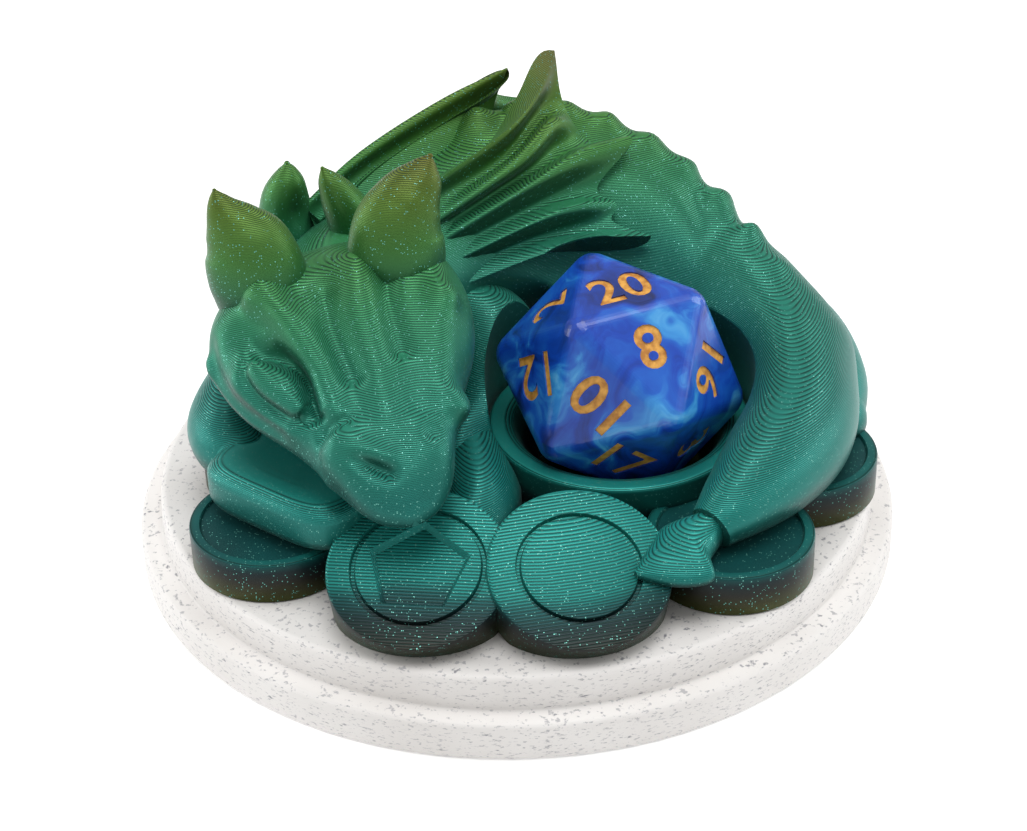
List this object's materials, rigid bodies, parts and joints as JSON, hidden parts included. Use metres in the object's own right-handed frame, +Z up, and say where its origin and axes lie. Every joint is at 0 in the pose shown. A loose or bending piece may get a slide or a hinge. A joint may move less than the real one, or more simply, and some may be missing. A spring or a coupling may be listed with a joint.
{
  "type": "dice guardian figurine with die and display base",
  "caption": "Sleeping dragon curled on a ring of coins around a round cup that holds a twenty-sided die, on a round stepped base.",
  "frame": {"origin": "middle of the display base's underside", "axes": "+Z up, +X towards the tail side, -Y towards the dragon's face"},
  "size_m": [0.075, 0.075, 0.043],
  "materials": {
    "base_print": "matt off-white marble-effect plastic with fine dark speckles",
    "figure_print": "silky layered plastic that turns with height from brown through teal to green, with fine glitter",
    "die_resin": "polished marbled blue resin",
    "numeral_paint": "satin orange-gold paint"
  },
  "bodies": {
    "stand": {"display_base": "base_print"},
    "figure": {"coin_back": "figure_print", "coin_back_left": "figure_print", "coin_back_right": "figure_print", "coin_front": "figure_print", "coin_front_left": "figure_print", "coin_front_middle": "figure_print", "coin_front_right": "figure_print", "coin_left": "figure_print", "coin_left_back": "figure_print", "coin_right": "figure_print", "coin_right_back": "figure_print", "dice_cup": "figure_print", "dorsal_spines": "figure_print", "foreleg_left": "figure_print", "foreleg_right": "figure_print", "haunch_right": "figure_print", "head": "figure_print", "horn_left": "figure_print", "horn_right": "figure_print", "neck": "figure_print", "paw_left": "figure_print", "paw_right": "figure_print", "tail": "figure_print", "tail_tip": "figure_print", "torso": "figure_print", "wing_claw_left": "figure_print", "wing_claw_right": "figure_print", "wing_left": "figure_print", "wing_right": "figure_print"},
    "die": {"d20": "die_resin", "d20_numerals": "numeral_paint"}
  },
  "joints": [
    {"name": "figure_lift", "type": "slide", "parent": "stand", "child": "figure", "axis": [0, 0, 1], "range_m": [0, 0.025]},
    {"name": "die_lift", "type": "slide", "parent": "figure", "child": "die", "axis": [0, 0, 1], "range_m": [0, 0.04]}
  ]
}
